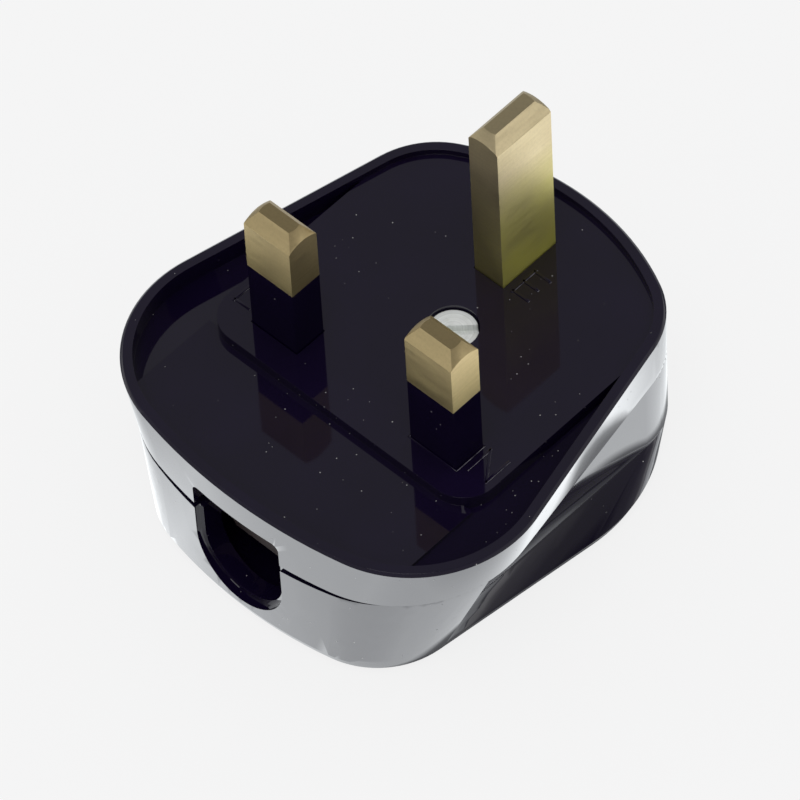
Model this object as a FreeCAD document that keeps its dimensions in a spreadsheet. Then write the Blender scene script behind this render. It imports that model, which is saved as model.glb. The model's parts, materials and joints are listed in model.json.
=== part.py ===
import FreeCAD, Part
import math
import os

import Sketcher

# A rewireable three pin plug, in millimetres. X runs from the line pin to the neutral pin,
# Y from the line of those two pins to the earth pin, and Z along the pins.
# The origin lies on the pin face, midway between the line and neutral pins.

SIZES = [
    # Pins, after the standard for this plug
    ("pin_pitch", 22.23, "line pin centre to neutral pin centre"),
    ("earth_offset", 22.23, "line of the two pins to the earth pin centre"),
    ("pin_long", 6.35, "line or neutral pin, long side"),
    ("pin_short", 3.97, "line or neutral pin, short side"),
    ("pin_reach", 17.7, "line or neutral pin above the pin face"),
    ("earth_long", 7.95, "earth pin, long side"),
    ("earth_short", 3.97, "earth pin, short side"),
    ("earth_reach", 22.8, "earth pin above the pin face"),
    ("tip_bevel_side", 1.2, "bevel of a wide face, across the pin"),
    ("tip_bevel_drop", 1.7, "bevel of a wide face, along the pin"),
    ("tip_turn_side", 0.95, "turned bevel of a narrow face, across the pin"),
    ("tip_turn_drop", 1.0, "turned bevel of a narrow face, along the pin"),
    ("sleeve_reach", 9.3, "sleeve above the pin face"),
    ("sleeve_wall", 0.6, "sleeve thickness"),
    ("sleeve_root", 2.2, "sleeve below the pin face"),
    ("slot_gap", 0.1, "clearance round a pin in the base"),
    # Outline of the pin face
    ("rim_half", 25.1, "half width at the shoulders"),
    ("rim_shoulder_y", -4.5, "place of the shoulders"),
    ("rim_shoulder_bend", 14.2, "radius of a shoulder"),
    ("rim_far_half", 19.45, "half width at the earth end"),
    ("rim_far_y", 20.0, "centre of the earth end corners"),
    ("rim_far_bend", 10.1, "radius of the earth end corners"),
    ("cable_end", -19.9, "cable end of the plug"),
    ("earth_end", 32.4, "earth end of the plug"),
    ("rim_edge", 0.3, "small bevel round the rim"),
    ("rim_rise", 0.75, "pin face to the top of the rim"),
    # Outline at the joint between base and cover
    ("base_depth", 6.0, "pin face to the joint"),
    ("joint_half", 23.3, "half width at the shoulders"),
    ("joint_shoulder_y", -4.4, "place of the shoulders"),
    ("joint_shoulder_bend", 14.5, "radius of a shoulder"),
    ("joint_far_half", 18.7, "half width at the earth end"),
    ("joint_far_y", 21.4, "centre of the earth end corners"),
    ("joint_far_bend", 8.4, "radius of the earth end corners"),
    ("joint_earth_end", 32.3, "earth end at the joint"),
    # Outline of the foot that the plug lies on
    ("body_depth", 19.2, "pin face to the back of the cover"),
    ("foot_edge", 1.7, "bevel round the back of the cover"),
    ("foot_half", 19.2, "half width at the cable end corners"),
    ("foot_shoulder_y", -8.7, "place of the cable end corners"),
    ("foot_shoulder_bend", 10.2, "radius of the cable end corners"),
    ("foot_far_half", 22.0, "half width at the earth end"),
    ("foot_far_y", 12.56, "centre of the earth end corners"),
    ("foot_far_bend", 19.0, "radius of the earth end corners"),
    # Waist between the finger grips
    ("grip_half", 18.6, "half width at the grip wall"),
    ("grip_inset", 0.2, "grip wall behind the cable end"),
    ("lobe_end_y", -6.9, "earth side of a cable end lobe at the joint"),
    ("lobe_end_foot_y", -9.5, "earth side of a cable end lobe at the foot"),
    ("grip_bend", 6.4, "cable end corners of the grip wall"),
    ("grip_depth", 15.5, "pin face to the crease under the grip wall"),
    # Walls
    ("web_under", 3.5, "pin face to the underside of the base's web"),
    ("base_wall", 1.8, "base side wall at the joint"),
    ("cover_half", 17.2, "half width inside the cover"),
    ("room_corner_y", -11.0, "place of the cavity's cable end corners"),
    ("cover_bend", 5.2, "inner corners of the cover"),
    ("cover_wall", 2.0, "end walls and floor of the cover"),
    ("lip_height", 1.4, "locating lip above the joint"),
    ("lip_wall", 1.1, "thickness of the locating lip"),
    ("lip_gap", 0.15, "clearance of the lip inside the base"),
    # Relief of the pin face
    ("band_width", 1.3, "flat rim round the pin face"),
    ("recess_depth", 1.7, "side recesses"),
    ("plateau_half", 18.6, "half width of the raised panel"),
    ("plateau_start", -5.1, "cable end edge of the raised panel"),
    ("plateau_bend", 4.0, "corner radius of the raised panel"),
    ("tongue_half", 18.4, "half width of the middle panel"),
    ("tongue_step", 1.3, "raised panel to the middle panel"),
    # Cord entry
    ("entry_half", 6.0, "half width of the cord entry"),
    ("entry_top", 2.8, "pin face to the top of the entry"),
    ("entry_corner", 0.9, "corners at the top of the entry"),
    ("entry_bend_depth", 10.8, "pin face to the centre of the entry's round end"),
    ("entry_collar", 0.6, "step inside the entry of the cover"),
    ("entry_collar_start", 1.0, "cable end to that step"),
    ("entry_run", 1.0, "how far the entry runs past the end wall"),
    ("entry_gap", 1.0, "open joint beside the entry"),
    ("entry_gap_half", 17.0, "half length of the open joint"),
    # Cover screw
    ("screw_x", 1.6, "cover screw, sideways"),
    ("screw_y", 11.1, "cover screw, towards the earth pin"),
    ("screw_head", 2.65, "head radius"),
    ("screw_head_height", 1.8, "head height"),
    ("screw_head_sunk", 0.5, "pin face to the top of the head"),
    ("screw_shank", 1.75, "shank radius"),
    ("screw_end", 14.0, "pin face to the end of the screw"),
    ("screw_gap", 0.15, "clearance round a screw"),
    ("slot_width", 1.1, "screwdriver slot"),
    ("slot_depth", 0.9, "depth of a screwdriver slot"),
    ("boss_wall", 1.9, "wall of a screw boss"),
    ("boss_depth", 7.0, "pin face to the end of the base's screw boss"),
    ("washer_thick", 0.8, "retaining washer"),
    ("washer_half", 3.3, "radius of the retaining washer"),
    ("pillar_depth", 8.4, "pin face to the top of the cover's pillar"),
    ("insert_half", 2.8, "radius of the brass insert"),
    ("insert_length", 6.2, "length of the brass insert"),
    # Terminals
    ("head_size", 8.0, "terminal head of the neutral pin"),
    ("head_narrow", 7.0, "terminal head of the earth pin, across"),
    ("head_height", 7.4, "terminal head, along the pin"),
    ("wire_hole", 1.6, "radius of a wire hole"),
    ("wire_hole_depth", 4.0, "web to the centre of a wire hole"),
    ("cradle_wall", 1.1, "wall round a terminal head"),
    ("cradle_height", 3.2, "height of that wall"),
    ("terminal_shank", 1.7, "terminal screw shank radius"),
    ("terminal_head", 2.4, "terminal screw head radius"),
    ("terminal_head_height", 1.5, "terminal screw head height"),
    ("terminal_shank_length", 3.8, "terminal screw shank length"),
    ("thread_gap", 0.02, "clearance of a screw in its thread"),
    # Fuse and its clips
    ("fuse_length", 25.4, "fuse over its caps"),
    ("fuse_cap", 3.175, "radius of a fuse cap"),
    ("fuse_cap_length", 5.6, "length of a fuse cap"),
    ("fuse_cap_wall", 0.25, "fuse cap thickness"),
    ("fuse_cap_gap", 0.02, "fuse cap to the ceramic tube"),
    ("fuse_tube_bore", 2.1, "bore radius of the fuse tube"),
    ("fuse_wire", 0.2, "radius of the fuse element"),
    ("fuse_x", -11.2, "fuse axis, sideways"),
    ("fuse_middle", 9.4, "middle of the fuse, lengthways"),
    ("foot_plate", 2.5, "thickness of the brass under a clip"),
    ("foot_plate_half", 3.6, "half width of the brass under a clip"),
    ("foot_plate_reach", 3.4, "line pin's brass either side of the pin"),
    ("foot_plate_rim", 0.3, "line pin's brass beside the pin"),
    ("rib_gap", 0.3, "fuse to the rib beside it"),
    ("rib_thick", 1.0, "thickness of that rib"),
    ("rib_length", 5.8, "length of that rib"),
    ("rib_clear", 0.6, "rib to the line terminal block"),
    ("rib_height", 5.5, "height of that rib"),
    ("ledge_pitch", 8.0, "distance between the two ledges under the fuse"),
    ("ledge_thick", 1.2, "thickness of a ledge"),
    ("ledge_half", 2.7, "half width of a ledge"),
    ("ledge_rise", 1.2, "fuse axis to the top of a ledge"),
    ("ledge_gap", 0.2, "clearance of the tube in a ledge"),
    ("clip_thick", 0.6, "clip strip thickness"),
    ("clip_width", 4.8, "clip strip width"),
    ("clip_gap", 0.05, "clip arm to fuse cap"),
    ("clip_bend", 1.0, "bend of the strip at its back"),
    ("clip_hug", 50.0, "degrees that an arm follows the cap below its middle"),
    ("clip_flare_bend", 0.8, "bend of an arm's tip"),
    ("clip_flare_turn", 80.0, "degrees that the tip turns out"),
    ("clip_flare_end", 0.6, "straight end of the tip"),
    ("rivet_head", 1.7, "rivet head radius"),
    ("rivet_head_height", 0.6, "rivet head height"),
    ("rivet_shank", 1.1, "rivet shank radius"),
    ("rivet_shank_length", 2.6, "rivet shank length"),
    ("rivet_gap", 0.03, "clearance of a rivet in its hole"),
    ("rivet_space", 0.1, "rivet head to fuse cap"),
    # Line terminal block
    ("block_length", 6.0, "length of the block's head"),
    ("block_clear", 0.5, "block's head to the fuse clip"),
    ("block_overlap", 2.4, "length of the block's plate beside its head"),
    ("block_corner", 1.0, "cut corner of the block's plate"),
    ("block_gap", 0.2, "fuse to the block's head, sideways"),
    ("block_width", 4.5, "width of the block's head"),
    ("block_height", 7.2, "height of the block's head"),
    ("block_hole", 1.4, "wire hole of the block"),
    ("block_shank", 1.4, "screw radius in the block"),
    ("block_screw_head", 2.1, "head radius of the block's screw"),
    # Cord grip
    ("grip_screw_x", 9.4, "cord grip screws, sideways"),
    ("cord_grip_y", -12.3, "cord grip, lengthways"),
    ("strap_width", 5.8, "cord grip strap, lengthways"),
    ("strap_thick", 1.6, "cord grip strap thickness"),
    ("strap_half", 12.0, "half length of the strap"),
    ("strap_depth", 8.5, "pin face to the strap"),
    ("strap_rise", 3.1, "arch of the strap"),
    ("strap_flat", 6.3, "where the arch of the strap starts"),
    ("strap_crown", 4.0, "half width of the arch's top"),
    ("strap_lean", 0.8, "sideways shift of the arch's outer face"),
    ("strap_rib", 0.8, "ribs of the strap"),
    ("grip_shank", 1.25, "cord grip screw shank radius"),
    ("grip_head", 2.3, "cord grip screw head radius"),
    ("grip_head_height", 1.5, "cord grip screw head height"),
    ("grip_shank_length", 5.2, "cord grip screw shank length"),
    ("saddle_height", 1.1, "ribs under the cord"),
    ("saddle_thick", 0.9, "thickness of those ribs"),
    ("saddle_pitch", 3.0, "distance between those ribs"),
    # Making of cuts
    ("cut_over", 1.0, "how far a cut starts outside the piece"),
    ("edge_rest", 0.01, "straight rest between two full corners"),
]


class Dim:
    """A length that knows its number and the sheet formula it comes from."""

    def __init__(self, mm, formula=None):
        self.mm = float(mm)
        self.formula = formula or repr(float(mm))

    def _join(self, other, sign, mm):
        return Dim(mm, f"({self.formula} {sign} {other.formula})")

    def __add__(self, other):
        other = as_dim(other)
        return self._join(other, "+", self.mm + other.mm)

    def __sub__(self, other):
        other = as_dim(other)
        return self._join(other, "-", self.mm - other.mm)

    def __mul__(self, other):
        other = as_dim(other)
        return self._join(other, "*", self.mm * other.mm)

    def __truediv__(self, other):
        other = as_dim(other)
        return self._join(other, "/", self.mm / other.mm)

    def __neg__(self):
        return Dim(-self.mm, f"(0 - {self.formula})")


def as_dim(value):
    return value if isinstance(value, Dim) else Dim(value)


doc = FreeCAD.newDocument("Plug")
sheet = doc.addObject("Spreadsheet::Sheet", "Sizes")
for row, (alias, number, meaning) in enumerate(SIZES, start=1):
    sheet.set(f"A{row}", alias)
    sheet.set(f"B{row}", str(number))
    sheet.set(f"C{row}", meaning)
    sheet.setAlias(f"B{row}", alias)
doc.recompute()


def size(alias):
    """The named size as a Dim."""
    return Dim(sheet.get(alias), f"Sizes.{alias}")


ZERO = Dim(0)
ONE_TURN = 360


# Helpers for bodies and sketches

def new_body(label):
    body = doc.addObject("PartDesign::Body", label)
    body.Label = label
    return body


def place(obj, x=ZERO, y=ZERO, z=ZERO, turn=None):
    """Puts an object at x, y, z, bound to the sheet, turned by turn about its own origin."""
    rotation = turn or FreeCAD.Rotation()
    obj.Placement = FreeCAD.Placement(FreeCAD.Vector(x.mm, y.mm, z.mm), rotation)
    for letter, dim in (("x", x), ("y", y), ("z", z)):
        obj.setExpression(f"Placement.Base.{letter}", dim.formula)


def new_sketch(body, name, level=ZERO, role="XY_Plane"):
    """A sketch on one of the body's own planes, level along that plane's normal."""
    sketch = body.newObject("Sketcher::SketchObject", name)
    plane = [item for item in body.Origin.OriginFeatures if item.Role == role][0]
    sketch.AttachmentSupport = [(plane, "")]
    sketch.MapMode = "FlatFace"
    offset = FreeCAD.Vector(0, 0, level.mm)
    sketch.AttachmentOffset = FreeCAD.Placement(offset, FreeCAD.Rotation())
    sketch.setExpression("AttachmentOffset.Base.z", level.formula)
    return sketch


def drive(sketch, kind, where, dim):
    """Adds a driving constraint whose value comes from the sheet."""
    index = sketch.addConstraint(Sketcher.Constraint(kind, *where, dim.mm))
    name = f"{kind}_{index}"
    sketch.renameConstraint(index, name)
    sketch.setExpression(f"Constraints.{name}", dim.formula)


def point(x, y):
    return FreeCAD.Vector(x, y, 0)


def polygon(sketch, corners):
    """A closed polygon whose corners are pairs of Dims."""
    first = sketch.GeometryCount
    count = len(corners)
    places = [point(x.mm, y.mm) for x, y in corners]
    for i in range(count):
        sketch.addGeometry(Part.LineSegment(places[i], places[(i + 1) % count]))
    for i in range(count):
        after = first + (i + 1) % count
        sketch.addConstraint(Sketcher.Constraint("Coincident", first + i, 2, after, 1))
    for i, (x, y) in enumerate(corners):
        drive(sketch, "DistanceX", (-1, 1, first + i, 1), x)
        drive(sketch, "DistanceY", (-1, 1, first + i, 1), y)


def rectangle(sketch, x0, x1, y0, y1):
    """A rectangle with sides along the sketch axes."""
    first = sketch.GeometryCount
    places = [(x0, y0), (x1, y0), (x1, y1), (x0, y1)]
    places = [point(x.mm, y.mm) for x, y in places]
    for i in range(4):
        sketch.addGeometry(Part.LineSegment(places[i], places[(i + 1) % 4]))
    for i in range(4):
        after = first + (i + 1) % 4
        sketch.addConstraint(Sketcher.Constraint("Coincident", first + i, 2, after, 1))
        kind = "Vertical" if i % 2 else "Horizontal"
        sketch.addConstraint(Sketcher.Constraint(kind, first + i))
    drive(sketch, "DistanceX", (-1, 1, first, 1), x0)
    drive(sketch, "DistanceX", (-1, 1, first, 2), x1)
    drive(sketch, "DistanceY", (-1, 1, first, 1), y0)
    drive(sketch, "DistanceY", (-1, 1, first + 2, 1), y1)


def centred(sketch, wide, high, x=ZERO, y=ZERO):
    """A rectangle about a centre."""
    rectangle(sketch, x - wide / 2, x + wide / 2, y - high / 2, y + high / 2)


def circle(sketch, radius, x=ZERO, y=ZERO):
    index = sketch.addGeometry(Part.Circle(point(x.mm, y.mm), FreeCAD.Vector(0, 0, 1), radius.mm))
    drive(sketch, "DistanceX", (-1, 1, index, 3), x)
    drive(sketch, "DistanceY", (-1, 1, index, 3), y)
    drive(sketch, "Radius", (index,), radius)


def arc(centre, radius, start, end):
    """An arc from start to end, anticlockwise."""
    angles = [math.atan2(p[1] - centre[1], p[0] - centre[0]) for p in (start, end)]
    if angles[1] < angles[0]:
        angles[1] += 2 * math.pi
    ring = Part.Circle(point(*centre), FreeCAD.Vector(0, 0, 1), radius)
    return Part.ArcOfCircle(ring, *angles)


def segment(sketch, half, level, depth):
    """The area between a chord at level and the arc that hangs depth below it."""
    first = sketch.GeometryCount
    left, right = point(-half.mm, level.mm), point(half.mm, level.mm)
    lowest = point(0, level.mm - depth.mm)
    sketch.addGeometry(Part.LineSegment(right, left))
    sketch.addGeometry(Part.Arc(left, lowest, right))
    sketch.addConstraint(Sketcher.Constraint("Coincident", first, 2, first + 1, 1))
    sketch.addConstraint(Sketcher.Constraint("Coincident", first, 1, first + 1, 2))
    sketch.addConstraint(Sketcher.Constraint("Symmetric", first, 1, first, 2, -2))
    drive(sketch, "DistanceX", (-1, 1, first, 1), half)
    drive(sketch, "DistanceY", (-1, 1, first, 1), level)
    tip = sketch.addGeometry(Part.Point(lowest), True)
    sketch.addConstraint(Sketcher.Constraint("PointOnObject", tip, 1, -2))
    sketch.addConstraint(Sketcher.Constraint("PointOnObject", tip, 1, first + 1))
    drive(sketch, "DistanceY", (-1, 1, tip, 1), level - depth)


def joined(sketch, first, count):
    """Makes count elements from first meet end to end, each tangent to the next."""
    for i in range(count):
        after = first + (i + 1) % count
        sketch.addConstraint(Sketcher.Constraint("Tangent", first + i, 2, after, 1))


def rounded(sketch, x0, x1, y0, y1, bend):
    """A rectangle with rounded corners."""
    first = sketch.GeometryCount
    left, right, low, high, r = x0.mm, x1.mm, y0.mm, y1.mm, bend.mm
    sides = [((left + r, low), (right - r, low)), ((right, low + r), (right, high - r)),
             ((right - r, high), (left + r, high)), ((left, high - r), (left, low + r))]
    centres = [(right - r, low + r), (right - r, high - r),
               (left + r, high - r), (left + r, low + r)]
    for i in range(4):
        sketch.addGeometry(Part.LineSegment(point(*sides[i][0]), point(*sides[i][1])))
        sketch.addGeometry(arc(centres[i], r, sides[i][1], sides[(i + 1) % 4][0]))
    joined(sketch, first, 8)
    for i in range(4):
        kind = "Vertical" if i % 2 else "Horizontal"
        sketch.addConstraint(Sketcher.Constraint(kind, first + 2 * i))
    for i in range(1, 4):
        sketch.addConstraint(Sketcher.Constraint("Equal", first + 1, first + 2 * i + 1))
    drive(sketch, "Radius", (first + 1,), bend)
    drive(sketch, "DistanceX", (-1, 1, first + 6, 1), x0)
    drive(sketch, "DistanceX", (-1, 1, first + 2, 1), x1)
    drive(sketch, "DistanceY", (-1, 1, first, 1), y0)
    drive(sketch, "DistanceY", (-1, 1, first + 4, 1), y1)


class Outline:
    """The plug's plan at one level: two shoulders, two far corners and a crown at each end."""

    def __init__(self, half, shoulder_y, bend, far_half, far_y, far_bend, low, high):
        self.x = half - bend
        self.y = shoulder_y
        self.bend = bend
        self.far_x = far_half - far_bend
        self.far_y = far_y
        self.far_bend = far_bend
        self.low = low
        self.high = high

    def inset(self, by):
        """The same outline moved inwards."""
        by = as_dim(by)
        return Outline(self.x + self.bend - by, self.y, self.bend - by,
                       self.far_x + self.far_bend - by, self.far_y, self.far_bend - by,
                       self.low + by, self.high - by)

    def crown(self, x, y, bend, end):
        """Radius and centre height of the arc that closes an end and touches both corners."""
        drop = abs(end - y)
        radius = (x * x + drop * drop - bend * bend) / (2 * (drop - bend))
        return radius, (end + radius if end < y else end - radius)

    def touch(self, x, y, crown_y, radius, bend):
        """The point where a corner arc touches its crown, on the right."""
        scale = bend / (radius - bend)
        return x + x * scale, y + (y - crown_y) * scale

    def draw(self, sketch):
        """Draws the closed outline, with its sizes bound to the sheet."""
        first = sketch.GeometryCount
        x, y, r = self.x.mm, self.y.mm, self.bend.mm
        fx, fy, fr = self.far_x.mm, self.far_y.mm, self.far_bend.mm
        low_r, low_y = self.crown(x, y, r, self.low.mm)
        high_r, high_y = self.crown(fx, fy, fr, self.high.mm)
        low = self.touch(x, y, low_y, low_r, r)
        high = self.touch(fx, fy, high_y, high_r, fr)
        along = math.hypot(fx - x, fy - y)
        lean = math.atan2(fy - y, fx - x) - math.acos((r - fr) / along)
        near = (x + r * math.cos(lean), y + r * math.sin(lean))
        far = (fx + fr * math.cos(lean), fy + fr * math.sin(lean))

        def left(p):
            return (-p[0], p[1])

        sketch.addGeometry(arc((0, low_y), low_r, left(low), low))
        sketch.addGeometry(arc((x, y), r, low, near))
        sketch.addGeometry(Part.LineSegment(point(*near), point(*far)))
        sketch.addGeometry(arc((fx, fy), fr, far, high))
        sketch.addGeometry(arc((0, high_y), high_r, high, left(high)))
        sketch.addGeometry(arc((-fx, fy), fr, left(high), left(far)))
        sketch.addGeometry(Part.LineSegment(point(*left(far)), point(*left(near))))
        sketch.addGeometry(arc((-x, y), r, left(near), left(low)))
        joined(sketch, first, 8)
        for right, other in ((1, 7), (3, 5)):
            sketch.addConstraint(Sketcher.Constraint("Symmetric", first + right, 3, first + other, 3, -2))
            sketch.addConstraint(Sketcher.Constraint("Equal", first + right, first + other))
        drive(sketch, "Radius", (first + 1,), self.bend)
        drive(sketch, "Radius", (first + 3,), self.far_bend)
        drive(sketch, "DistanceX", (-1, 1, first + 1, 3), self.x)
        drive(sketch, "DistanceY", (-1, 1, first + 1, 3), self.y)
        drive(sketch, "DistanceX", (-1, 1, first + 3, 3), self.far_x)
        drive(sketch, "DistanceY", (-1, 1, first + 3, 3), self.far_y)
        for element, end in ((first, self.low), (first + 4, self.high)):
            tip = sketch.addGeometry(Part.Point(point(0, end.mm)), True)
            sketch.addConstraint(Sketcher.Constraint("PointOnObject", tip, 1, -2))
            sketch.addConstraint(Sketcher.Constraint("PointOnObject", tip, 1, element))
            drive(sketch, "DistanceY", (-1, 1, tip, 1), end)

    def draw_near_end(self, sketch):
        """Draws only the cable end, closed straight across at its widest."""
        first = sketch.GeometryCount
        x, y, r = self.x.mm, self.y.mm, self.bend.mm
        low_r, low_y = self.crown(x, y, r, self.low.mm)
        low = self.touch(x, y, low_y, low_r, r)
        sketch.addGeometry(arc((0, low_y), low_r, (-low[0], low[1]), low))
        sketch.addGeometry(arc((x, y), r, low, (x + r, y)))
        sketch.addGeometry(Part.LineSegment(point(x + r, y), point(-x - r, y)))
        sketch.addGeometry(arc((-x, y), r, (-x - r, y), (-low[0], low[1])))
        for end, start in ((0, 1), (3, 0)):
            sketch.addConstraint(Sketcher.Constraint("Tangent", first + end, 2, first + start, 1))
        for end, start in ((1, 2), (2, 3)):
            sketch.addConstraint(Sketcher.Constraint("Coincident", first + end, 2, first + start, 1))
        sketch.addConstraint(Sketcher.Constraint("Symmetric", first + 1, 3, first + 3, 3, -2))
        sketch.addConstraint(Sketcher.Constraint("Equal", first + 1, first + 3))
        sketch.addConstraint(Sketcher.Constraint("Horizontal", first + 2))
        drive(sketch, "Radius", (first + 1,), self.bend)
        drive(sketch, "DistanceX", (-1, 1, first + 1, 3), self.x)
        drive(sketch, "DistanceY", (-1, 1, first + 1, 3), self.y)
        drive(sketch, "DistanceY", (-1, 1, first + 2, 1), self.y)
        tip = sketch.addGeometry(Part.Point(point(0, self.low.mm)), True)
        sketch.addConstraint(Sketcher.Constraint("PointOnObject", tip, 1, -2))
        sketch.addConstraint(Sketcher.Constraint("PointOnObject", tip, 1, first))
        drive(sketch, "DistanceY", (-1, 1, tip, 1), self.low)


# Helpers for features

def extrude(body, kind, sketch, length, name, reverse=False, middle=False):
    feature = body.newObject(kind, name)
    feature.Profile = sketch
    feature.Type = "Length"
    feature.Length = length.mm
    feature.setExpression("Length", length.formula)
    feature.Reversed = reverse
    if middle:
        feature.Midplane = True
    doc.recompute()
    return feature


def pad(body, sketch, length, name, reverse=False, middle=False):
    return extrude(body, "PartDesign::Pad", sketch, length, name, reverse, middle)


def pocket(body, sketch, length, name, reverse=False, middle=False):
    """Cuts, and makes sure that something was cut."""
    before = body.Shape.Volume
    feature = extrude(body, "PartDesign::Pocket", sketch, length, name, reverse, middle)
    if not feature.Shape.Volume < before - 1e-6:
        raise ValueError(f"{name} cuts nothing")
    return feature


def loft(body, sketches, name):
    feature = body.newObject("PartDesign::AdditiveLoft", name)
    feature.Profile = sketches[0]
    feature.Sections = sketches[1:]
    feature.Ruled = True
    doc.recompute()
    return feature


def revolve(body, sketch, name, kind="PartDesign::Revolution"):
    feature = body.newObject(kind, name)
    feature.Profile = sketch
    feature.ReferenceAxis = (sketch, ["V_Axis"])
    feature.Angle = ONE_TURN
    doc.recompute()
    return feature


# Outlines shared by base and cover

rim = Outline(size("rim_half"), size("rim_shoulder_y"), size("rim_shoulder_bend"),
              size("rim_far_half"), size("rim_far_y"), size("rim_far_bend"),
              size("cable_end"), size("earth_end"))
joint = Outline(size("joint_half"), size("joint_shoulder_y"), size("joint_shoulder_bend"),
                size("joint_far_half"), size("joint_far_y"), size("joint_far_bend"),
                size("cable_end"), size("joint_earth_end"))
foot = Outline(size("foot_half"), size("foot_shoulder_y"), size("foot_shoulder_bend"),
               size("foot_far_half"), size("foot_far_y"), size("foot_far_bend"),
               size("cable_end"), size("joint_earth_end"))
waist = Outline(size("grip_half"), size("foot_shoulder_y"), size("grip_bend"),
                size("joint_far_half"), size("joint_far_y"), size("joint_far_bend"),
                size("cable_end") + size("grip_inset"), size("joint_earth_end"))
# The cavity keeps its wall inside both the waist and the joint outline
room_far = size("joint_far_half") - size("base_wall")
base_room = Outline(size("grip_half"), size("room_corner_y"), size("cover_bend"),
                    room_far, size("joint_far_y"), size("joint_far_bend") - size("base_wall"),
                    size("cable_end") + size("base_wall"),
                    size("joint_earth_end") - size("base_wall"))
lip_outer = base_room.inset(size("lip_gap"))
lip_inner = lip_outer.inset(size("lip_wall"))
cover_room = Outline(size("cover_half"), lip_inner.y, lip_inner.bend,
                     lip_inner.far_x + lip_inner.far_bend, lip_inner.far_y, lip_inner.far_bend,
                     lip_inner.low, lip_inner.high)

HALF_PITCH = size("pin_pitch") / 2
OVER = size("cut_over")
ABOVE = size("rim_rise") + OVER
WEB = -size("web_under")
FOOT = size("foot_edge") - size("body_depth")
FUSE_Z = WEB - size("foot_plate") - size("clip_thick") - size("rivet_head_height")
FUSE_Z = FUSE_Z - size("rivet_space") - size("fuse_cap")
TUBE_RADIUS = size("fuse_cap") - size("fuse_cap_wall") - size("fuse_cap_gap")
FUSE_INSIDE = size("fuse_length") - size("fuse_cap_wall") * 2
CAP_MIDDLE = size("fuse_cap_length") / 2
FUSE_START = size("fuse_middle") - size("fuse_length") / 2
FUSE_END = size("fuse_middle") + size("fuse_length") / 2
CLIP_PLACES = {"pin_side": FUSE_START + CAP_MIDDLE, "terminal_side": FUSE_END - CAP_MIDDLE}
BLOCK_END = CLIP_PLACES["terminal_side"] - size("clip_width") / 2 - size("block_clear")
BLOCK_START = BLOCK_END - size("block_length")
BLOCK_OUTER = size("fuse_x") + size("fuse_cap") + size("block_gap")
BLOCK_X = BLOCK_OUTER + size("block_width") / 2
BLOCK_Y = BLOCK_END - size("block_length") / 2

X_AXIS = FreeCAD.Vector(1, 0, 0)
Z_AXIS = FreeCAD.Vector(0, 0, 1)
UPSIDE_DOWN = FreeCAD.Rotation(X_AXIS, 180)
Z_TO_Y = FreeCAD.Rotation(X_AXIS, -90)
Z_TO_MINUS_Y = FreeCAD.Rotation(X_AXIS, 90)
QUARTER_TURN = FreeCAD.Rotation(Z_AXIS, 90)
SLOT_DEGREES = 44
SLOT_TURN = FreeCAD.Rotation(Z_AXIS, SLOT_DEGREES)
# Share of a rounding's radius that is cut off at its middle
MIDDLE_OF_ROUND = 1 - math.sqrt(0.5)


# Base moulding

def face_recess():
    """The sunk areas of the pin face, kept as a tool that is cut from the base."""
    body = new_body("face_recess_tool")
    area = new_sketch(body, "RecessOutline", ABOVE)
    rim.inset(size("band_width")).draw(area)
    pad(body, area, size("recess_depth") + ABOVE, "RecessDepth", reverse=True)
    panel = new_sketch(body, "PlateauOutline", -size("recess_depth"))
    half = size("plateau_half")
    far = size("earth_end") + size("plateau_bend") * 2
    rounded(panel, -half, half, size("plateau_start"), far, size("plateau_bend"))
    pocket(body, panel, size("recess_depth"), "Plateau", reverse=True)
    tongue = new_sketch(body, "TongueOutline", -size("recess_depth"))
    half = size("tongue_half")
    rectangle(tongue, -half, half, size("cable_end") - OVER, size("plateau_start") + OVER)
    pocket(body, tongue, size("recess_depth") - size("tongue_step"), "Tongue", reverse=True)
    return body


def cradle(body, name, x, y, wide, high):
    """A low wall round a terminal head."""
    gap = size("slot_gap") * 2
    wall = size("cradle_wall") * 2
    outside = new_sketch(body, f"{name}Cradle", WEB)
    centred(outside, wide + gap + wall, high + gap + wall, x, y)
    pad(body, outside, size("cradle_height"), f"{name}CradleWall", reverse=True)
    inside = new_sketch(body, f"{name}Room", WEB)
    centred(inside, wide + gap, high + gap, x, y)
    pocket(body, inside, size("cradle_height"), f"{name}CradleRoom")


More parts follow.
